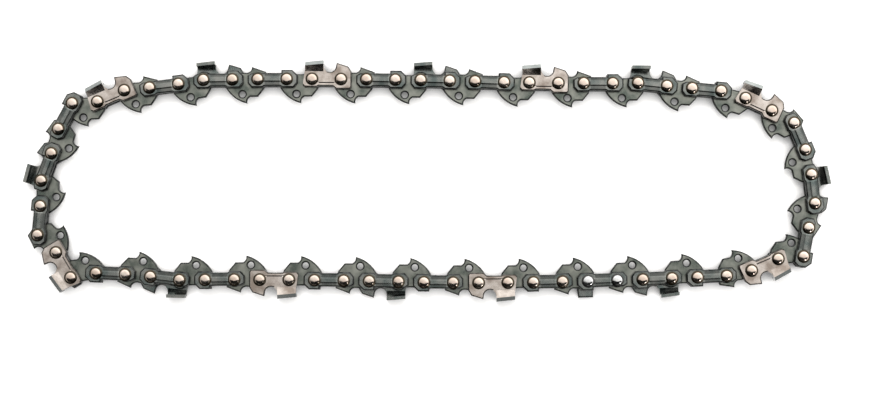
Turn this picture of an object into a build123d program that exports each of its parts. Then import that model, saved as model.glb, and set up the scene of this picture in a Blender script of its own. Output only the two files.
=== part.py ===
"""Saw chain for a small chainsaw: a closed, riveted loop of 33 drive links and 33 pairs of side
links, lying on its side as it would on a bench.

The loop lies in the XY plane with +Z up. The origin is at the middle of its box, on the surface
it lies on. Lengths are in millimetres.

Every link is drawn once in its own frame, u along the chain's travel and v out of the loop, with
its two rivets at u = -pitch / 2 and u = +pitch / 2. Links are then laid along the loop rivet by rivet.
"""
from build123d import *
from math import atan2, cos, degrees, hypot, radians, sin
import os

# Pitches: rivet to rivet along a side link and along a drive link
side_pitch = 9.95
drive_pitch = 8.69

# Thicknesses across the chain
gauge = 1.3
strap_thickness = 1.4
side_play = 0.05

# Rivets
shank_diameter = 3.2
hub_diameter = 4.0
hub_play = 0.05
head_diameter = 4.3
head_top_diameter = 3.2
head_height = 0.6

# Drive links: lobes round the rivets, and the dip of the outer edge between them
lobe_radius = 3.1
lobe_rise = 2.7
dip_height = 1.9
# The tang, measured from the link's middle or from the rivet beside it
tang_root_behind = 2.25
tang_root_depth = 3.0
tang_back_behind = 3.9
tang_back_depth = 6.1
tang_tip_ahead = 0.6
tang_depth = 8.2
hook_ahead = 0.75
hook_depth = 6.7
tang_foot_start = 1.6
tang_foot_depth = 5.9
tang_foot_end = 4.2
tang_slope_ahead = 1.95
tang_slope_depth = 3.3
tang_hole_diameter = 2.1
tang_hole_behind = 1.1
tang_hole_depth = 5.0
# The bumper, a ramp that rises behind the front rivet, with a round notch at its back
bumper_height = 4.5
bumper_ahead = 2.2
notch_ahead = 0.5
notch_height = 2.45
notch_depth_ahead = 1.55
notch_depth_height = 2.9
ramp_end_ahead = 2.75
ramp_end_height = 2.7

# Tie straps, ends measured from the rivet beside them
strap_front_end = 3.75
strap_rear_end = 3.5
strap_end_half_width = 1.35
strap_corner = 1.35
strap_lobe_depth = 2.9
waist_height = 2.15
waist_depth = 2.45
waist_start = 2.3
waist_slope = 0.6
foot_height = 3.2
foot_behind = 1.85
foot_ahead = 1.9
joining_foot_height = 5.6
joining_foot_ahead = 3.3

# Cutters
cutter_front_end = 3.6
cutter_rear_end = 3.15
cutter_corner = 0.6
cutter_rear_depth = 2.75
cutter_waist_depth = 2.4
cutter_front_depth = 3.4
nose_height = 2.6
gauge_height = 5.7
gauge_tip_behind = 1.55
gauge_slope_ahead = 2.5
gauge_slope_height = 4.4
gullet_radius = 2.1
gullet_ahead = 1.1
gullet_height = 4.55
fold_height = 2.6
fold_lap = 0.6
top_plate_ahead = -1.05
top_plate_length = 6.35
top_plate_height = 6.5
top_plate_heel_height = 5.9
top_plate_thickness = 1.1
top_plate_reach = 4.3
top_plate_draw_in = 0.3
top_plate_corner = 0.9
side_band_height = 1.3
inner_fold = 0.5
lean_out = 0.55

# The loop, clockwise from the rear rivet of link 1: (links in this stretch, degrees turned in all)
link_pairs = 33
first_heading = 26
stretch_angles = [
    (1, 0), (1, 17), (2, -3.5), (1, 8), (5, 1.5), (5, 1), (5, -2), (1, 6), (2, -0.5), (1, 11.5),
    (1, 8), (1, 4.5), (1, 39), (1, 10), (1, 6.5), (1, 22.5), (1, -4), (1, 77.5), (1, -18.5), (1, 11.5), (1, 10),
    (6, 1.5), (5, 2.5), (4, -0.5), (4, -1.5), (1, 7.5), (2, -4), (1, -13),
    (1, 69), (1, -16), (1, 50), (1, -3.5), (1, 17.5), (1, -4), (1, 11.5), (1, 56),
]

# Which side links are cutters: near side up to the viewer, far side against the bench
near_cutters = [1, 5, 9, 13, 17, 22, 26, 30]
far_cutters = [3, 7, 11, 15, 19, 24, 28, 32]
joining_link = 20
# Drive links that share the node of the side link behind them
shared_drive_links = [6, 8, 10, 23, 25, 27]

half_side = side_pitch / 2
half_drive = drive_pitch / 2
far_face = head_height
drive_bottom = far_face + strap_thickness + side_play
near_bottom = drive_bottom + gauge + side_play
near_face = near_bottom + strap_thickness
mid_height = (far_face + near_face) / 2


def drive_link(bumper):
    """One drive link: two lobes and a hooked tang, with the bumper or with a plain outer edge."""
    with BuildPart() as link:
        with BuildSketch(Plane.XY.offset(drive_bottom)):
            with BuildLine():
                rear = Polyline(
                    (-half_drive, lobe_rise),
                    (-half_drive - lobe_radius, 0),
                    (-half_drive - tang_root_behind, -tang_root_depth),
                )
                back = ThreePointArc(
                    rear @ 1, (-tang_back_behind, -tang_back_depth), (tang_tip_ahead, -tang_depth)
                )
                hook = ThreePointArc(
                    back @ 1, (hook_ahead, -hook_depth), (tang_foot_start, -tang_foot_depth)
                )
                front = Polyline(
                    hook @ 1,
                    (tang_foot_end, -tang_foot_depth),
                    (half_drive + tang_slope_ahead, -tang_slope_depth),
                    (half_drive + lobe_radius, 0),
                )
                if bumper:
                    ramp = Polyline(
                        front @ 1, (half_drive + ramp_end_ahead, ramp_end_height), (bumper_ahead, bumper_height)
                    )
                    notch = ThreePointArc(
                        ramp @ 1, (notch_depth_ahead, notch_depth_height), (notch_ahead, notch_height)
                    )
                    Line(notch @ 1, rear @ 0)
                else:
                    rise = Line(front @ 1, (half_drive, lobe_rise))
                    ThreePointArc(rise @ 1, (0, dip_height), rear @ 0)
            make_face()
            with Locations((-half_drive, 0), (half_drive, 0)):
                Circle(lobe_radius)
            with Locations((-half_drive, 0), (half_drive, 0)):
                Circle(hub_diameter / 2 + hub_play, mode=Mode.SUBTRACT)
            with Locations((-tang_hole_behind, -tang_hole_depth)):
                Circle(tang_hole_diameter / 2, mode=Mode.SUBTRACT)
        extrude(amount=gauge)
    return link.part


def tie_strap(bottom, height, ahead):
    """One flat side strap: two eight-sided ends, a slimmer waist and a foot on its front end."""
    front_end = half_side + strap_front_end
    rear_end = -half_side - strap_rear_end
    waist_end = half_side - waist_start
    with BuildPart() as strap:
        with BuildSketch(Plane.XY.offset(bottom)):
            with BuildLine():
                Polyline(
                    (front_end, strap_end_half_width),
                    (front_end, -strap_end_half_width),
                    (front_end - strap_corner, -strap_lobe_depth),
                    (waist_end + waist_slope, -strap_lobe_depth),
                    (waist_end, -waist_depth),
                    (-waist_end, -waist_depth),
                    (-waist_end - waist_slope, -strap_lobe_depth),
                    (rear_end + strap_corner, -strap_lobe_depth),
                    (rear_end, -strap_end_half_width),
                    (rear_end, strap_end_half_width),
                    (rear_end + strap_corner, waist_height),
                    (half_side - foot_behind, waist_height),
                    (half_side - foot_behind, height),
                    (half_side + ahead, height),
                    close=True,
                )
            make_face()
            with Locations((-half_side, 0), (half_side, 0)):
                Circle(shank_diameter / 2, mode=Mode.SUBTRACT)
        extrude(amount=strap_thickness)
    return strap.part


def cutter():
    """One cutter on the near side: side plate, depth gauge, gullet and the folded top plate."""
    front_end = half_side + cutter_front_end
    rear_end = -half_side - cutter_rear_end
    waist_end = half_side - waist_start
    gauge_tip = half_side - gauge_tip_behind
    top_rear = top_plate_ahead - top_plate_length
    with BuildPart() as link:
        with BuildSketch(Plane.XY.offset(near_bottom)):
            with BuildLine():
                edge = Polyline(
                    (rear_end, -cutter_rear_depth + cutter_corner),
                    (rear_end + cutter_corner, -cutter_rear_depth),
                    (-waist_end - waist_slope, -cutter_rear_depth),
                    (-waist_end, -cutter_waist_depth),
                    (waist_end - waist_slope, -cutter_waist_depth),
                    (waist_end + waist_slope, -cutter_front_depth),
                    (front_end - cutter_corner, -cutter_front_depth),
                    (front_end, -cutter_front_depth + cutter_corner),
                    (front_end, nose_height),
                    (half_side + gauge_slope_ahead, gauge_slope_height),
                    (gauge_tip, gauge_height),
                    (gullet_ahead + gullet_radius, gullet_height),
                )
                gullet = ThreePointArc(
                    edge @ 1,
                    (gullet_ahead, gullet_height - gullet_radius),
                    (gullet_ahead - gullet_radius, gullet_height),
                )
                Polyline(
                    gullet @ 1,
                    (top_plate_ahead, gullet_height),
                    (top_plate_ahead, fold_height + fold_lap),
                    (top_rear, fold_height + fold_lap),
                    edge @ 0,
                )
            make_face()
            with Locations((-half_side, 0), (half_side, 0)):
                Circle(shank_diameter / 2, mode=Mode.SUBTRACT)
        extrude(amount=strap_thickness)
        # the folded plate, lofted from the cutting edge to the lower and narrower heel
        cutting_edge = (top_plate_ahead, top_plate_height, 0.0)
        heel = (top_rear, top_plate_heel_height, top_plate_draw_in)
        for at, height, draw_in in (cutting_edge, heel):
            lip = near_face + lean_out - draw_in
            reach = lip - top_plate_reach + draw_in
            with BuildSketch(Plane(origin=(at, 0, 0), x_dir=(0, 1, 0), z_dir=(1, 0, 0))):
                with BuildLine():
                    Polyline(
                        (fold_height, near_bottom),
                        (fold_height, near_face),
                        (height - side_band_height, lip),
                        (height, lip - top_plate_corner),
                        (height, reach),
                        (height - top_plate_thickness, reach),
                        (height - top_plate_thickness, lip - strap_thickness - inner_fold),
                        (height - side_band_height - inner_fold, lip - strap_thickness),
                        close=True,
                    )
                make_face()
        loft(ruled=True)
    return link.part


def rivet():
    """One rivet: a hub in the drive link, two shanks in the side links and two formed heads."""
    with BuildPart() as pin:
        with BuildSketch(Plane.XZ):
            with BuildLine():
                Polyline(
                    (0, 0),
                    (head_top_diameter / 2, 0),
                    (head_diameter / 2, far_face),
                    (shank_diameter / 2, far_face),
                    (shank_diameter / 2, far_face + strap_thickness),
                    (hub_diameter / 2, far_face + strap_thickness),
                    (hub_diameter / 2, near_bottom),
                    (shank_diameter / 2, near_bottom),
                    (shank_diameter / 2, near_face),
                    (head_diameter / 2, near_face),
                    (head_top_diameter / 2, near_face + head_height),
                    (0, near_face + head_height),
                    close=True,
                )
            make_face()
        revolve(axis=Axis.Z)
    return pin.part


def loop_headings():
    """Heading of every link in degrees, side and drive links in turn, before the loop is closed."""
    headings = []
    heading = first_heading
    for links, turned in stretch_angles:
        for _ in range(links):
            heading -= turned / links
            headings.append(heading)
    return headings


def close_loop(headings, lengths):
    """Turn every link by the least amount, in degrees, that brings the last rivet onto the first."""
    for _ in range(20):
        along = [(n * cos(radians(h)), n * sin(radians(h))) for h, n in zip(headings, lengths)]
        gap_x = sum(x for x, _ in along)
        gap_y = sum(y for _, y in along)
        if hypot(gap_x, gap_y) < 1e-9:
            break
        xx = sum(y * y for _, y in along)
        xy = -sum(x * y for x, y in along)
        yy = sum(x * x for x, _ in along)
        scale = xx * yy - xy * xy
        pull_x = -(gap_x * yy - gap_y * xy) / scale
        pull_y = -(gap_y * xx - gap_x * xy) / scale
        headings = [h + degrees(-y * pull_x + x * pull_y) for h, (x, y) in zip(headings, along)]
    return headings


def rivet_places(headings, lengths):
    """Centre of every rivet, from the rear rivet of link 1 on."""
    places = [(0.0, 0.0)]
    for heading, length in zip(headings, lengths):
        x, y = places[-1]
        places.append((x + length * cos(radians(heading)), y + length * sin(radians(heading))))
    return places[:-1]


def between(a, b):
    """The frame of a link whose rear rivet is at a and whose front rivet is at b."""
    turn = degrees(atan2(b[1] - a[1], b[0] - a[0]))
    return Location(((a[0] + b[0]) / 2, (a[1] + b[1]) / 2, 0), (0, 0, turn))


lengths = [side_pitch, drive_pitch] * link_pairs
rivets = rivet_places(close_loop(loop_headings(), lengths), lengths)

# One of each piece, in the frame of its link
near_strap = tie_strap(near_bottom, foot_height, foot_ahead)
far_strap = tie_strap(far_face, foot_height, foot_ahead)
far_joining_strap = tie_strap(far_face, joining_foot_height, joining_foot_ahead)
near_cutter = cutter()
with BuildPart() as mirrored_cutter:
    add(near_cutter)
    mirror(about=Plane.XY.offset(mid_height), mode=Mode.REPLACE)
far_cutter = mirrored_cutter.part
plain_drive = drive_link(bumper=False)
bumper_drive = drive_link(bumper=True)
pin = rivet()

# Lay the links round the loop
nodes = {}
for number in range(1, link_pairs + 1):
    rear, front, ahead = (rivets[(2 * number - 2 + step) % len(rivets)] for step in range(3))
    frame = between(rear, front)
    near, far = near_strap, far_strap
    name = f"tie_straps_{number:02d}"
    if number in near_cutters:
        near, name = near_cutter, f"cutter_near_{number:02d}"
    elif number in far_cutters:
        far, name = far_cutter, f"cutter_far_{number:02d}"
    elif number == joining_link:
        far, name = far_joining_strap, f"joining_link_{number:02d}"
    pieces = [near.moved(frame), far.moved(frame)]
    pieces += [pin.moved(Location((*place, 0))) for place in (rear, front)]
    guards_cutter = number in near_cutters + far_cutters + [joining_link]
    drive = (bumper_drive if guards_cutter else plain_drive).moved(between(front, ahead))
    if number in shared_drive_links:
        nodes[f"tie_straps_and_drive_link_{number:02d}"] = pieces + [drive]
    else:
        nodes[name] = pieces
        nodes[f"drive_link_{number:02d}"] = [drive]

# Set the middle of the loop's box on the origin and write one file for each node
whole = Compound([piece for pieces in nodes.values() for piece in pieces]).bounding_box()
middle = Location((-(whole.min.X + whole.max.X) / 2, -(whole.min.Y + whole.max.Y) / 2, -whole.min.Z))
os.makedirs("parts", exist_ok=True)
for name, pieces in nodes.items():
    node = Compound([solid.moved(middle) for piece in pieces for solid in piece.solids()])
    node.label = name
    export_step(node, f"parts/{name}.step")
first = (rivets[0][0] + middle.position.X, rivets[0][1] + middle.position.Y)
print(f"loop {whole.size.X:.2f} x {whole.size.Y:.2f} x {whole.size.Z:.2f} mm, first rivet at {first}")
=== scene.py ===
"""Looks of a saw chain loop that lies on its side: blued drive links and tie straps, plated cutters and
tinted rivets, on a white floor under soft studio light.

Every plate starts as a copy of its solid, and every rivet is spun about its own axis, so all pieces
stay where the chain's links are. Lengths are in metres.
"""
import bmesh
import bpy
from math import atan2, cos, pi, radians, sin
from mathutils import Matrix, Vector


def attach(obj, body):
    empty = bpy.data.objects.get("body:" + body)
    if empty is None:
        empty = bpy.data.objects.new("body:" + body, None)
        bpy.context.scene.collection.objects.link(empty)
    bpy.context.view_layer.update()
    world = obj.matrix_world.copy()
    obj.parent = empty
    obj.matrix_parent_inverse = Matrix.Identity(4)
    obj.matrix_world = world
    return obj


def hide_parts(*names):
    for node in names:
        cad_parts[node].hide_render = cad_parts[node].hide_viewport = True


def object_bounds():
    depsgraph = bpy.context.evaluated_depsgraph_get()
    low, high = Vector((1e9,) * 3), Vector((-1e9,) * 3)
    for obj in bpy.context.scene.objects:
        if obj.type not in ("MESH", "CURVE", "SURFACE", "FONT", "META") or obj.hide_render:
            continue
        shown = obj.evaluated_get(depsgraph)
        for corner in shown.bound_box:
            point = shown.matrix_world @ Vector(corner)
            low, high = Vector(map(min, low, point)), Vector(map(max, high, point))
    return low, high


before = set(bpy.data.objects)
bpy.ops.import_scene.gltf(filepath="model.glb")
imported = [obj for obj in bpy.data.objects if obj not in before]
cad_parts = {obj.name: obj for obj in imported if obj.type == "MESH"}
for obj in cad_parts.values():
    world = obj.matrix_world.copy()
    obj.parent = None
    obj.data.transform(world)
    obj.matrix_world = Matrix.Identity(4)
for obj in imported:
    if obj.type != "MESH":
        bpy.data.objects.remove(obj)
cad_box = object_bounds()

MM = 0.001

# Layers of the chain, from the solids' own sizes: FACE is from the middle to a side plate's outer face
TOP = cad_box[1].z
MIDDLE = TOP / 2
HEAD_RADIUS = 2.3 * MM
HEAD_HEIGHT = 0.6 * MM
FACE = MIDDLE - HEAD_HEIGHT
HUB_HALF = 0.7 * MM
HUB_RADIUS = 2.0 * MM
SHANK_RADIUS = 1.6 * MM

# Section of a rivet's head, dome and then flank: radius and height above the plate, in millimetres
HEAD_SECTION = [
    (0.0, 0.6), (0.45, 0.595), (0.8, 0.573), (1.1, 0.524), (1.4, 0.435), (1.6, 0.345),
    (2.1, 0.06), (2.25, 0.0),
]
# Past this radius a head's flank takes a near-black finish: painted shade round the head
DOME_RADIUS = 1.6 * MM
SPIN_STEPS = 32

# Edges of the stamped plates: widths of their rounding, and angles that count as flat and as sharp
WELD = 0.002 * MM
STRAP_ROUND = 0.48 * MM
DRIVE_ROUND = 0.46 * MM
CUTTER_ROUND = 0.42 * MM
ROUND_STEPS = 4
FLAT = radians(1)
SHARP = radians(28)

# How upright a face's normal is, from 0 on a wall to 1 on a flat face: walls stay below WALL, flat faces
# are as close to 1, and a rounded face gets painted shade where it is below STEEP
WALL = 0.02
STEEP = 0.985

# How far a face is darkened towards the edge colour: painted shade on walls and creases, and a strap's darker
# waist
WALL_SHADE = 0.9
WAIST_DARKENING = 0.45
CREASE_SHADE = 0.9

# Axes of a link's frame: along its travel, and out of the loop
ALONG, OUTWARD = 0, 1

# Rib between a strap's rivets, in its link's frame
RIB_TOP = 0.55 * MM
RIB_FOOT = 1.0 * MM
RIB_END = 2.55 * MM
RIB_HEIGHT = 0.2 * MM

# Crease along a cutter's inner edge, in its link's frame
CREASE_OFFSET = -1.25 * MM
CREASE_HALF = 0.22 * MM
CREASE_END = 2.6 * MM
CREASE_DEPTH = 0.16 * MM

# Where a cutter's folded top plate starts, in its link's frame, and how far its chromed faces look outwards
FOLD_AHEAD = -0.3 * MM
FOLD_HEIGHT = 2.3 * MM
TOP_FACING = 0.4

# Ground faces of a cutter: those that look forward, above the rivets and behind its gullet
GROUND_FACING = 0.4
GROUND_HEIGHT = 2.5 * MM
GROUND_AHEAD = 0.4 * MM

# Plated faces of a cutter: those that look away from the chain's middle, or straight out of the loop
PLATED_FACING = 0.25
PLATED_EDGE = 0.75

# Texture of steel: waves for each metre and depth of detail, and the range of the noise that is used
BLOTCH_NOISE = 230, 4
BLOTCH_RANGE = 0.35, 0.68
RUB_NOISE = 700, 3
RUB_RANGE = 0.35, 0.6
GRAIN_NOISE = 5200, 2
GRAIN_RANGE = 0.3, 0.7
GRAIN_DEPTH = 0.05 * MM

# How far grain and blotches change the roughness, up or down
GRAIN_ROUGHNESS = 0.06
BLOTCH_ROUGHNESS = 0.05

# Colour sockets of a Mix node
MIX_FIRST, MIX_SECOND, MIX_RESULT = 6, 7, 2

# Floor: its half width, how far it lies below the chain, its colour and the glow that keeps it white
FLOOR_HALF = 3.0
FLOOR_DROP = 0.02 * MM
FLOOR_COLOUR = (0.9, 0.885, 0.865, 1)
FLOOR_GLOW = 0.35

# How far round a point of the floor the chain can hem it in. From the first to the second of these shares
# of open room above it, the floor's colour and glow grow from the third share to the whole: painted contact
# shade
CONTACT_REACH = 6 * MM
CONTACT_LIGHT = 0.2, 0.62, 0.28, 1.0
CONTACT_SAMPLES = 8

# Room that the metal mirrors: from the first to the second of these slopes towards the window, the pale
# ceiling gives way to its light, with the strengths of the other two
WINDOW = Vector((0.5, 0.87, 0.0))
WINDOW_LIGHT = -0.35, 1.2, 0.42, 2.22

# Strength of the whole room as diffuse light, and as it is seen
ROOM_LIGHT = 1.25
ROOM_SEEN = 1.0

# Dark sheet that hangs flat, high up on the near side of the room, as a unit square that is scaled: a painted
# reflection, seen only in the metal's gloss
UNIT_HALF = 0.5
FLAG_SIZE = (14.0, 7.2, 1.0)
FLAG_PLACE = (0.0, -4.12, 6.0)
FLAG_COLOUR = (0.01, 0.011, 0.011, 1)

# Lamps: a wide sun for the shadow, and a small softbox that glints in the rivets
SUN_STRENGTH = 0.7
SUN_WIDTH = radians(16)
SUN_TURN = (radians(-32), radians(-14), 0)
SOFTBOX_WATTS = 0.16
SOFTBOX_SIZE = 0.1
SOFTBOX_PLACE = Vector((0.40, -0.33, 0.43))

# Photograph: its width in pixels and its scale, and the camera that looks down on the loop
IMAGE_WIDTH = 871
PIXELS_PER_MM = 2.933
CAMERA_DISTANCE = 0.5
CAMERA_TILT = radians(3.05)
CAMERA_ROLL = 0.0089
CAMERA_AIM = Vector((3.18 * MM, -7.18 * MM, TOP))
CLIP_START = 10 * MM
SENSOR_WIDTH = 36 * MM


# Where the links are

def link_number(node):
    """The two digits that end a node's name."""
    return node[-2:]


def middle_of(points):
    """Middle of the box round some points."""
    low = Vector([min(along) for along in zip(*points)])
    high = Vector([max(along) for along in zip(*points)])
    return (low + high) / 2


def rivet_axes(node):
    """The two rivets of a side link in plan, found from the flat tops of their heads."""
    points = [v.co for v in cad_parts[node].data.vertices]
    tops = [p.xy for p in points if p.z > TOP - WELD]
    near = [p for p in tops if (p - tops[0]).length < 2 * HEAD_RADIUS]
    far = [p for p in tops if (p - tops[0]).length >= 2 * HEAD_RADIUS]
    return middle_of(near), middle_of(far)


def link_frame(rear, front):
    """Frame of a link: x along its travel, y out of the loop, origin midway between its rivets."""
    along = front - rear
    turn = Matrix.Rotation(atan2(along.y, along.x), 4, "Z")
    return Matrix.Translation(((rear + front) / 2).to_3d()) @ turn


def link_places():
    """(node, rear rivet, front rivet) of every side link, in order round the loop."""
    nodes = sorted((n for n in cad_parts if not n.startswith("drive_link")), key=link_number)
    axes = [rivet_axes(node) for node in nodes]
    places = []
    for at, node in enumerate(nodes):
        ahead = middle_of(axes[(at + 1) % len(nodes)])
        front, rear = sorted(axes[at], key=lambda axis: (axis - ahead).length)
        places.append((node, rear, front))
    return places


# Meshes

def is_rivet_face(face, axes):
    """Whether a face of a solid belongs to a rivet: close round its axis, and not the wall of its hole."""
    centre = face.calc_center_median()
    axis = min(axes, key=lambda a: (a - centre.xy).length)
    close = all((v.co.xy - axis).length < HEAD_RADIUS for v in face.verts)
    return close and face.normal.xy.dot(axis - centre.xy) < WELD


def joined_faces(seed):
    """Indexes of all faces that hang together with one face."""
    joined = {seed.index}
    growing = [seed]
    while growing:
        face = growing.pop()
        for edge in face.edges:
            for beside in edge.link_faces:
                if beside.index not in joined:
                    joined.add(beside.index)
                    growing.append(beside)
    return joined


def loose_plates(node, axes):
    """The plates of a node as separate meshes, copied from its solids without the rivets."""
    whole = bmesh.new()
    whole.from_mesh(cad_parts[node].data)
    bmesh.ops.delete(whole, geom=[f for f in whole.faces if is_rivet_face(f, axes)], context="FACES")
    bmesh.ops.remove_doubles(whole, verts=whole.verts, dist=WELD)
    whole.faces.index_update()
    taken = set()
    plates = []
    for seed in whole.faces:
        if seed.index in taken:
            continue
        plate = joined_faces(seed)
        taken |= plate
        mesh = whole.copy()
        bmesh.ops.delete(mesh, geom=[f for f in mesh.faces if f.index not in plate], context="FACES")
        bmesh.ops.dissolve_limit(mesh, angle_limit=FLAT, verts=mesh.verts, edges=mesh.edges)
        plates.append(mesh)
    whole.free()
    return plates


def heights(mesh):
    """Lowest and highest point of a mesh."""
    return min(v.co.z for v in mesh.verts), max(v.co.z for v in mesh.verts)


def is_stamped(edge):
    """Whether an edge is on the outline of a flat plate, between a flat face and an upright wall."""
    upright = sorted(abs(face.normal.z) for face in edge.link_faces)
    return edge.is_manifold and upright[0] < WALL and upright[1] > 1 - WALL


def is_at_fold(edge):
    """Whether an edge of a cutter, in its link's frame, is beside its folded top plate."""
    return any(v.co.x < FOLD_AHEAD and v.co.y > FOLD_HEIGHT for v in edge.verts)


def round_edges(mesh, width, has_fold=False):
    """Round the edges of a stamped plate; mark painted shade on its walls and steep rounded faces, and the
    crests of its edges as worn.
    """
    worn = mesh.verts.layers.float.new("worn")
    darkened = mesh.faces.layers.float.new("darkened")
    bmesh.ops.dissolve_limit(mesh, angle_limit=FLAT, verts=mesh.verts, edges=mesh.edges)
    outline = [e for e in mesh.edges if is_stamped(e) and not (has_fold and is_at_fold(e))]
    rounded = bmesh.ops.bevel(
        mesh, geom=outline, offset=width, offset_type="OFFSET", affect="EDGES",
        segments=ROUND_STEPS, profile=0.5, clamp_overlap=False, material=-1,
    )
    round_faces = set(rounded["faces"])
    for face in mesh.faces:
        upright = abs(face.normal.z)
        in_fold = has_fold and WALL < upright < 1 - WALL
        face.smooth = face in round_faces or in_fold
        # Painted shade: steep rounded faces and the walls are marked to take the dark edge colour
        if face in round_faces:
            face[darkened] = upright < STEEP
        elif upright < WALL:
            face[darkened] = WALL_SHADE
    for edge in mesh.edges:
        edge.smooth = edge.calc_face_angle(0) < SHARP
    for vertex in rounded["verts"]:
        vertex[worn] = round_faces.issuperset(vertex.link_faces)


def cut(mesh, axis, offset):
    """Cut a mesh by a plane square to an axis, keeping both sides."""
    normal = Vector((0, 0, 0))
    normal[axis] = 1
    geometry = mesh.verts[:] + mesh.edges[:] + mesh.faces[:]
    bmesh.ops.bisect_plane(mesh, geom=geometry, dist=WELD, plane_co=normal * offset, plane_no=normal)


def press_rib(mesh, side):
    """Raise a flat rib between the rivets on the outer face of a strap; side is 1 near, -1 far."""
    for offset in (-RIB_FOOT, -RIB_TOP, RIB_TOP, RIB_FOOT):
        cut(mesh, OUTWARD, offset)
    for offset in (-RIB_END, RIB_END):
        cut(mesh, ALONG, offset)
    face_height = MIDDLE + side * FACE
    for vertex in mesh.verts:
        on_face = abs(vertex.co.z - face_height) < WELD
        if on_face and abs(vertex.co.x) < RIB_END + WELD and abs(vertex.co.y) < RIB_TOP + WELD:
            vertex.co.z += side * RIB_HEIGHT
    darkened = mesh.faces.layers.float["darkened"]
    # A strap's waist beside the rib is marked to be darker, part way towards the edge colour
    for face in mesh.faces:
        centre = face.calc_center_median()
        if face[darkened] == 0 and abs(centre.x) < RIB_END and abs(centre.y) > RIB_TOP:
            face[darkened] = WAIST_DARKENING


def press_crease(mesh, side):
    """Press a fine crease along the inner edge of a cutter's outer face; side is 1 near, -1 far."""
    for offset in (-CREASE_HALF, 0, CREASE_HALF):
        cut(mesh, OUTWARD, CREASE_OFFSET + offset)
    for offset in (-CREASE_END, CREASE_END):
        cut(mesh, ALONG, offset)
    face_height = MIDDLE + side * FACE
    for vertex in mesh.verts:
        on_face = abs(vertex.co.z - face_height) < WELD
        on_line = abs(vertex.co.y - CREASE_OFFSET) < WELD
        if on_face and on_line and abs(vertex.co.x) < CREASE_END + WELD:
            vertex.co.z -= side * CREASE_DEPTH
    darkened = mesh.faces.layers.float["darkened"]
    # Painted shade in the crease: its faces are marked to take the dark edge colour
    for face in mesh.faces:
        centre = face.calc_center_median()
        in_crease = abs(centre.x) < CREASE_END and abs(centre.y - CREASE_OFFSET) < CREASE_HALF
        if in_crease and abs(centre.z - face_height) < CREASE_DEPTH:
            face[darkened] = CREASE_SHADE


def spun_rivet(axis):
    """One rivet: domed heads with a steep flank, shanks and the hub between the side plates."""
    upper = [(r * MM, MIDDLE + FACE + z * MM) for r, z in HEAD_SECTION]
    upper.append((SHANK_RADIUS, MIDDLE + FACE))
    upper.append((SHANK_RADIUS, MIDDLE + HUB_HALF))
    upper.append((HUB_RADIUS, MIDDLE + HUB_HALF))
    profile = upper + [(r, TOP - z) for r, z in reversed(upper)]
    mesh = bmesh.new()
    points = [mesh.verts.new((axis.x + r, axis.y, z)) for r, z in profile]
    edges = [mesh.edges.new(pair) for pair in zip(points, points[1:])]
    bmesh.ops.spin(
        mesh, geom=points + edges, cent=(axis.x, axis.y, 0), axis=(0, 0, 1), angle=2 * pi,
        steps=SPIN_STEPS, use_merge=True,
    )
    bmesh.ops.remove_doubles(mesh, verts=mesh.verts, dist=WELD)
    bmesh.ops.recalc_face_normals(mesh, faces=mesh.faces)
    for face in mesh.faces:
        face.smooth = True
        # The flank past DOME_RADIUS takes the second, near-black material: painted shade round the head
        face.material_index = (face.calc_center_median().xy - axis).length > DOME_RADIUS
    for edge in mesh.edges:
        edge.smooth = edge.calc_face_angle() < SHARP
    return mesh


def add_object(name, mesh, *materials):
    """Make an object of a mesh, with its materials."""
    data = bpy.data.meshes.new(name)
    mesh.to_mesh(data)
    mesh.free()
    for material in materials:
        data.materials.append(material)
    made = bpy.data.objects.new(name, data)
    bpy.context.scene.collection.objects.link(made)
    return made


def add_piece(name, mesh, node, slot, *materials):
    """Make a piece of a mesh, standing for its node and riding with it."""
    piece = add_object(name, mesh, *materials)
    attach(piece, node)
    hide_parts(node)
    return piece


# Shader nodes

def calculate(nodes, links, operation, first, second):
    """Result of one operation on two values."""
    made = nodes.new("ShaderNodeMath")
    made.operation = operation
    links.new(first, made.inputs[0])
    links.new(second, made.inputs[1])
    return made.outputs[0]


def spread(nodes, links, value, low, high, to_low, to_high):
    """A value moved from one range to another and held at its ends."""
    made = nodes.new("ShaderNodeMapRange")
    for socket, number in zip(made.inputs[1:5], (low, high, to_low, to_high)):
        socket.default_value = number
    links.new(value, made.inputs["Value"])
    return made.outputs["Result"]


def strength_by_ray(nodes, links, away, seen):
    """One strength for what the camera, gloss and glass see and another for diffuse light."""
    path = nodes.new("ShaderNodeLightPath")
    is_seen = path.outputs["Is Camera Ray"]
    for ray in ("Is Glossy Ray", "Is Transmission Ray"):
        is_seen = calculate(nodes, links, "MAXIMUM", is_seen, path.outputs[ray])
    return spread(nodes, links, is_seen, 0, 1, away, seen)


# Materials

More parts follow.
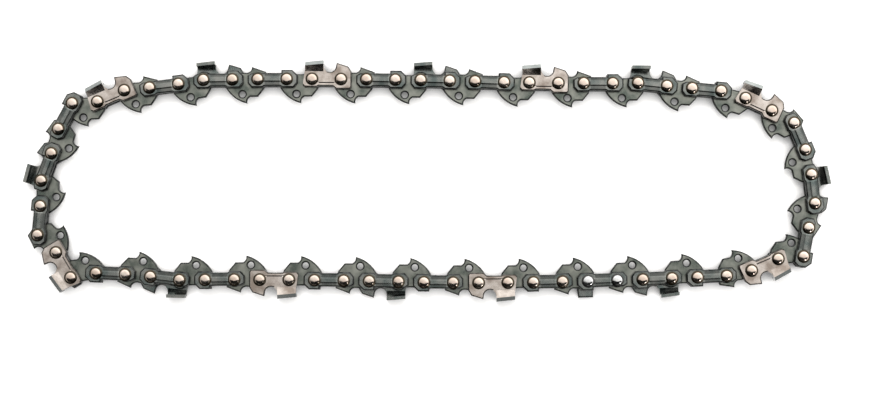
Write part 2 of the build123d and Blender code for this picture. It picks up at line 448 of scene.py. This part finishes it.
def steel_skin():
    """Shader group for steel: blotches of stain, painted shade of the edge colour on marked faces, bare metal
    where rubbed, fine grain.
    """
    group = bpy.data.node_groups.new("steel_skin", "ShaderNodeTree")
    for name, kind in (
        ("Colour", "NodeSocketColor"), ("Stain", "NodeSocketColor"), ("Edge", "NodeSocketColor"),
        ("Bare", "NodeSocketColor"), ("Darkened", "NodeSocketFloat"), ("Worn", "NodeSocketFloat"),
        ("Wear", "NodeSocketFloat"), ("Roughness", "NodeSocketFloat"),
    ):
        group.interface.new_socket(name, in_out="INPUT", socket_type=kind)
    for name, kind in (
        ("Colour", "NodeSocketColor"), ("Roughness", "NodeSocketFloat"), ("Height", "NodeSocketFloat"),
    ):
        group.interface.new_socket(name, in_out="OUTPUT", socket_type=kind)
    nodes, links = group.nodes, group.links
    given = nodes.new("NodeGroupInput").outputs
    result = nodes.new("NodeGroupOutput").inputs
    place = nodes.new("ShaderNodeTexCoord")

    def noise(scale, detail):
        made = nodes.new("ShaderNodeTexNoise")
        made.inputs["Scale"].default_value = scale
        made.inputs["Detail"].default_value = detail
        links.new(place.outputs["Object"], made.inputs["Vector"])
        return made.outputs["Fac"]

    def mix(factor, first, second):
        made = nodes.new("ShaderNodeMix")
        made.data_type = "RGBA"
        links.new(factor, made.inputs["Factor"])
        links.new(first, made.inputs[MIX_FIRST])
        links.new(second, made.inputs[MIX_SECOND])
        return made.outputs[MIX_RESULT]

    blotch = spread(nodes, links, noise(*BLOTCH_NOISE), *BLOTCH_RANGE, 0, 1)
    patches = spread(nodes, links, noise(*RUB_NOISE), *RUB_RANGE, 0, 1)
    grain = noise(*GRAIN_NOISE)

    wear = calculate(nodes, links, "MULTIPLY", given["Worn"], given["Wear"])
    rubbed = calculate(nodes, links, "MULTIPLY", wear, patches)
    stained = mix(blotch, given["Colour"], given["Stain"])
    # Painted shade: faces marked darkened mix towards the dark edge colour
    edged = mix(given["Darkened"], stained, given["Edge"])
    links.new(mix(rubbed, edged, given["Bare"]), result["Colour"])

    by_grain = spread(nodes, links, grain, *GRAIN_RANGE, -GRAIN_ROUGHNESS, GRAIN_ROUGHNESS)
    by_blotch = spread(nodes, links, blotch, 0, 1, -BLOTCH_ROUGHNESS, BLOTCH_ROUGHNESS)
    grained = calculate(nodes, links, "ADD", given["Roughness"], by_grain)
    links.new(calculate(nodes, links, "ADD", grained, by_blotch), result["Roughness"])
    links.new(grain, result["Height"])
    return group


def steel(name, skin, colour, stain, edge, bare, wear, roughness, grain):
    """A steel finish made from the shared skin."""
    material = bpy.data.materials.new(name)
    material.use_nodes = True
    nodes, links = material.node_tree.nodes, material.node_tree.links
    shader = nodes["Principled BSDF"]
    shader.inputs["Metallic"].default_value = 1.0
    coat = nodes.new("ShaderNodeGroup")
    coat.node_tree = skin
    for attribute in ("worn", "darkened"):
        mark = nodes.new("ShaderNodeAttribute")
        mark.attribute_name = attribute
        links.new(mark.outputs["Fac"], coat.inputs[attribute.title()])
    coat.inputs["Colour"].default_value = (*colour, 1)
    coat.inputs["Stain"].default_value = (*stain, 1)
    coat.inputs["Edge"].default_value = (*edge, 1)
    coat.inputs["Bare"].default_value = (*bare, 1)
    coat.inputs["Wear"].default_value = wear
    coat.inputs["Roughness"].default_value = roughness
    bump = nodes.new("ShaderNodeBump")
    bump.inputs["Strength"].default_value = grain
    bump.inputs["Distance"].default_value = GRAIN_DEPTH
    links.new(coat.outputs["Height"], bump.inputs["Height"])
    links.new(coat.outputs["Colour"], shader.inputs["Base Color"])
    links.new(coat.outputs["Roughness"], shader.inputs["Roughness"])
    links.new(bump.outputs["Normal"], shader.inputs["Normal"])
    return material


skin = steel_skin()
# Each finish's edge colour is the painted shade for its walls, steep rounded edges and creases
blued_strap = steel(
    "blued_strap", skin, colour=(0.152, 0.181, 0.171), stain=(0.36, 0.36, 0.33), edge=(0.012, 0.014, 0.014),
    bare=(0.36, 0.36, 0.34), wear=0.2, roughness=0.28, grain=0.25,
)
blued_drive = steel(
    "blued_drive", skin, colour=(0.14, 0.161, 0.139), stain=(0.42, 0.425, 0.37), edge=(0.012, 0.014, 0.014),
    bare=(0.36, 0.36, 0.34), wear=0.2, roughness=0.35, grain=0.25,
)
champagne_plate = steel(
    "champagne_plate", skin, colour=(0.37, 0.305, 0.256), stain=(0.86, 0.775, 0.7), edge=(0.04, 0.034, 0.028),
    bare=(0.75, 0.72, 0.68), wear=0.15, roughness=0.17, grain=0.08,
)
chromed_top = steel(
    "chromed_top", skin, colour=(0.26, 0.28, 0.27), stain=(0.37, 0.385, 0.37), edge=(0.04, 0.04, 0.038),
    bare=(0.75, 0.74, 0.72), wear=0.3, roughness=0.17, grain=0.08,
)
ground_steel = steel(
    "ground_steel", skin, colour=(0.62, 0.62, 0.60), stain=(0.7, 0.7, 0.69), edge=(0.5, 0.5, 0.49),
    bare=(0.8, 0.8, 0.79), wear=0.8, roughness=0.2, grain=0.1,
)
tinted_rivet = steel(
    "tinted_rivet", skin, colour=(0.78, 0.62, 0.51), stain=(1.0, 0.87, 0.76), edge=(0.8, 0.7, 0.6),
    bare=(0.8, 0.7, 0.6), wear=0.0, roughness=0.14, grain=0.06,
)
# Near-black flank of the tinted rivets: painted shade round their heads
rivet_rim_shade = steel(
    "rivet_rim_shade", skin, colour=(0.055, 0.045, 0.03), stain=(0.09, 0.072, 0.048), edge=(0.1, 0.08, 0.05),
    bare=(0.3, 0.25, 0.2), wear=0.0, roughness=0.24, grain=0.1,
)
bright_rivet = steel(
    "bright_rivet", skin, colour=(0.93, 0.92, 0.90), stain=(0.86, 0.86, 0.85), edge=(0.8, 0.8, 0.8),
    bare=(0.8, 0.8, 0.8), wear=0.0, roughness=0.15, grain=0.06,
)
# Near-black flank of the joining link's bright rivets: painted shade round their heads
grey_rim = steel(
    "grey_rim", skin, colour=(0.06, 0.06, 0.057), stain=(0.09, 0.09, 0.085), edge=(0.1, 0.1, 0.1),
    bare=(0.3, 0.3, 0.3), wear=0.0, roughness=0.24, grain=0.1,
)
cutter_finishes = [blued_strap, champagne_plate, ground_steel, chromed_top]


# Pieces

def finish_cutter(piece, place, side):
    """Grind a cutter's cutting faces bright, chrome its top plate and plate its outer faces."""
    back = place.inverted()
    turn = back.to_3x3()
    for polygon in piece.data.polygons:
        normal = turn @ polygon.normal
        centre = back @ polygon.center
        finish = blued_strap
        if normal.x > GROUND_FACING and centre.y > GROUND_HEIGHT and centre.x < GROUND_AHEAD:
            finish = ground_steel
        elif normal.y > TOP_FACING and centre.y > FOLD_HEIGHT and centre.x < FOLD_AHEAD:
            finish = chromed_top
        elif normal.z * side > PLATED_FACING or normal.y > PLATED_EDGE:
            finish = champagne_plate
        polygon.material_index = cutter_finishes.index(finish)


def dress_drive_plate(mesh, node, number):
    """One drive link's plate."""
    round_edges(mesh, DRIVE_ROUND)
    add_piece(f"drive_plate_{number}", mesh, node, "drive_steel", blued_drive)


def dress_side_plate(mesh, node, number, place):
    """One plate of a side link: the cutter, on the side that its node names, or a strap."""
    side = 1 if heights(mesh)[1] > MIDDLE + FACE - WELD else -1
    which = "near" if side > 0 else "far"
    is_cutter = node.startswith(f"cutter_{which}")
    bmesh.ops.transform(mesh, matrix=place.inverted(), verts=mesh.verts)
    if is_cutter:
        round_edges(mesh, CUTTER_ROUND, has_fold=True)
        press_crease(mesh, side)
    else:
        round_edges(mesh, STRAP_ROUND)
        press_rib(mesh, side)
    bmesh.ops.transform(mesh, matrix=place, verts=mesh.verts)
    if is_cutter:
        piece = add_piece(f"{which}_cutter_{number}", mesh, node, "plated_steel", *cutter_finishes)
        finish_cutter(piece, place, side)
    else:
        add_piece(f"{which}_strap_{number}", mesh, node, "strap_steel", blued_strap)


def dress_side_link(node, rear, front):
    """The two plates, two rivets and any shared drive link of one side link."""
    number = link_number(node)
    place = link_frame(rear, front)
    for mesh in loose_plates(node, (rear, front)):
        low, high = heights(mesh)
        if low > MIDDLE - HUB_HALF and high < MIDDLE + HUB_HALF:
            dress_drive_plate(mesh, node, number)
        else:
            dress_side_plate(mesh, node, number, place)
    # The second finish of each rivet is painted shade on the flank round its head
    finishes = (bright_rivet, grey_rim) if node.startswith("joining") else (tinted_rivet, rivet_rim_shade)
    for end, axis in (("rear", rear), ("front", front)):
        add_piece(f"rivet_{number}_{end}", spun_rivet(axis), node, "rivet_steel", *finishes)


def dress_chain():
    """All side links, each with the drive link ahead of it where that has a node of its own."""
    places = link_places()
    for at, (node, rear, front) in enumerate(places):
        dress_side_link(node, rear, front)
        number = link_number(node)
        drive_node = f"drive_link_{number}"
        if drive_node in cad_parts:
            ahead = places[(at + 1) % len(places)][1]
            for mesh in loose_plates(drive_node, (front, ahead)):
                dress_drive_plate(mesh, drive_node, number)


# Floor, light and camera

def flat_sheet(name, half, material):
    """A flat square of the stage, round the origin."""
    mesh = bmesh.new()
    bmesh.ops.create_grid(mesh, x_segments=1, y_segments=1, size=half)
    sheet = add_object(name, mesh, material)
    return sheet


def matt(name):
    """A material with no gloss."""
    material = bpy.data.materials.new(name)
    material.use_nodes = True
    shader = material.node_tree.nodes["Principled BSDF"]
    shader.inputs["Roughness"].default_value = 1.0
    shader.inputs["Specular IOR Level"].default_value = 0.0
    return material, shader


def painted_contact_shade(nodes, links):
    """Painted contact shade on the floor: the share of its colour and glow that is kept, less close beside
    the plates and inside their small holes.
    """
    around = nodes.new("ShaderNodeAmbientOcclusion")
    around.samples = CONTACT_SAMPLES
    around.inputs["Distance"].default_value = CONTACT_REACH
    return spread(nodes, links, around.outputs["AO"], *CONTACT_LIGHT)


def make_floor():
    """White floor that keeps the chain's shadow, with a painted contact shade beside the plates and in their
    small holes.
    """
    material, shader = matt("white_floor")
    nodes, links = material.node_tree.nodes, material.node_tree.links
    light = painted_contact_shade(nodes, links)
    paper = nodes.new("ShaderNodeMix")
    paper.data_type = "RGBA"
    paper.inputs[MIX_FIRST].default_value = (0, 0, 0, 1)
    paper.inputs[MIX_SECOND].default_value = FLOOR_COLOUR
    links.new(light, paper.inputs["Factor"])
    links.new(paper.outputs[MIX_RESULT], shader.inputs["Base Color"])
    glow = calculate(nodes, links, "MULTIPLY", strength_by_ray(nodes, links, 0.0, FLOOR_GLOW), light)
    shader.inputs["Emission Color"].default_value = (1, 1, 1, 1)
    links.new(glow, shader.inputs["Emission Strength"])
    floor = flat_sheet("floor", FLOOR_HALF, material)
    floor.location.z = -FLOOR_DROP


def hang_flag():
    """Dark sheet high up on the near side, seen only in the gloss of the metal: a painted reflection that
    darkens the rivets' domes and the lower edges.
    """
    material, shader = matt("dark_reflection_sheet")
    shader.inputs["Base Color"].default_value = FLAG_COLOUR
    flag = flat_sheet("dark_flag", UNIT_HALF, material)
    flag.scale = FLAG_SIZE
    flag.location = FLAG_PLACE
    flag.visible_camera = False
    flag.visible_diffuse = False
    flag.visible_shadow = False


def make_room():
    """Pale room all round, brighter towards its window."""
    world = bpy.data.worlds.new("white_room")
    bpy.context.scene.world = world
    world.use_nodes = True
    nodes, links = world.node_tree.nodes, world.node_tree.links
    background = nodes["Background"].inputs
    links.new(strength_by_ray(nodes, links, ROOM_LIGHT, ROOM_SEEN), background["Strength"])
    place = nodes.new("ShaderNodeTexCoord")
    facing = nodes.new("ShaderNodeVectorMath")
    facing.operation = "DOT_PRODUCT"
    facing.inputs[1].default_value = WINDOW
    links.new(place.outputs["Generated"], facing.inputs[0])
    links.new(spread(nodes, links, facing.outputs["Value"], *WINDOW_LIGHT), background["Color"])


def add_lamps():
    """The sun and the softbox, which looks at the middle of the loop."""
    lamp = bpy.data.lights.new("window", "SUN")
    lamp.energy = SUN_STRENGTH
    lamp.angle = SUN_WIDTH
    sun = bpy.data.objects.new("window", lamp)
    sun.rotation_euler = SUN_TURN
    sun.visible_glossy = False
    bpy.context.scene.collection.objects.link(sun)
    lamp = bpy.data.lights.new("softbox", "AREA")
    lamp.energy = SOFTBOX_WATTS
    lamp.size = SOFTBOX_SIZE
    softbox = bpy.data.objects.new("softbox", lamp)
    softbox.location = SOFTBOX_PLACE
    softbox.rotation_euler = (-SOFTBOX_PLACE).to_track_quat("-Z", "Y").to_euler()
    bpy.context.scene.collection.objects.link(softbox)


def place_camera():
    """Camera almost straight above the loop, at the photograph's scale."""
    data = bpy.data.cameras.new("camera")
    data.sensor_width = SENSOR_WIDTH / MM
    data.lens = data.sensor_width * PIXELS_PER_MM / MM * CAMERA_DISTANCE / IMAGE_WIDTH
    data.clip_start = CLIP_START
    camera = bpy.data.objects.new("camera", data)
    bpy.context.scene.collection.objects.link(camera)
    camera.location = CAMERA_AIM + CAMERA_DISTANCE * Vector((0, -sin(CAMERA_TILT), cos(CAMERA_TILT)))
    camera.rotation_euler = (CAMERA_TILT, 0, CAMERA_ROLL)
    bpy.context.scene.camera = camera


dress_chain()
make_floor()
hang_flag()
make_room()
add_lamps()
place_camera()
bpy.context.scene.view_settings.view_transform = "Standard"
